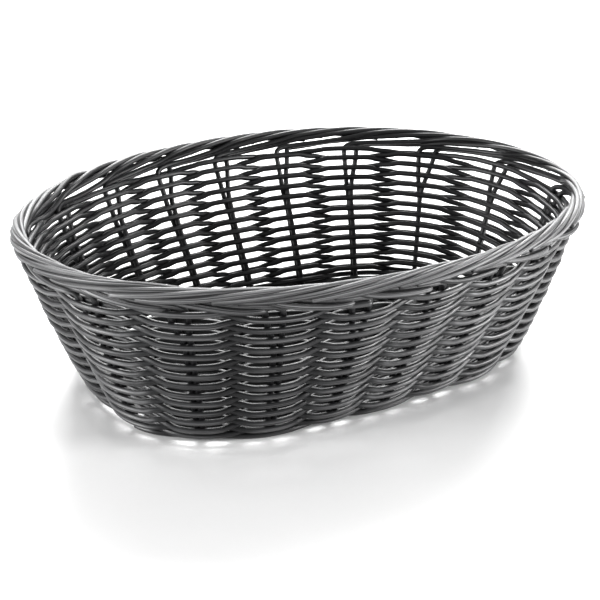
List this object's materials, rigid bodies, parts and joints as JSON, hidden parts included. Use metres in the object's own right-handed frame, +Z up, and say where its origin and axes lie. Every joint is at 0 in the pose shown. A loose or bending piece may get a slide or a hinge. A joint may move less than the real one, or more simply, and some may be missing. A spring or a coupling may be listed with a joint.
{
  "type": "bread basket",
  "caption": "Oval open bread basket woven from black round plastic cord, with flared sides and a rope-like border laid from the stake ends.",
  "frame": {"origin": "centre of the oval on the surface that the basket stands on", "axes": "+X along the long axis, +Y across, +Z up out of the open top"},
  "size_m": [0.228, 0.1613, 0.0672],
  "materials": {
    "stake_cord": "satin black extruded polypropylene cord",
    "weaver_cord": "satin black extruded polypropylene cord"
  },
  "bodies": {
    "root": {"cross_stake_1a": "stake_cord", "cross_stake_1b": "stake_cord", "cross_stake_2a": "stake_cord", "cross_stake_2b": "stake_cord", "cross_stake_3a": "stake_cord", "cross_stake_3b": "stake_cord", "cross_stake_4a": "stake_cord", "cross_stake_4b": "stake_cord", "cross_stake_5a": "stake_cord", "cross_stake_5b": "stake_cord", "cross_stake_6a": "stake_cord", "cross_stake_6b": "stake_cord", "cross_stake_7a": "stake_cord", "cross_stake_7b": "stake_cord", "long_stake_1a": "stake_cord", "long_stake_1b": "stake_cord", "long_stake_2a": "stake_cord", "long_stake_2b": "stake_cord", "odd_stake": "stake_cord", "base_weaver": "weaver_cord", "side_weaver": "weaver_cord"}
  },
  "joints": []
}
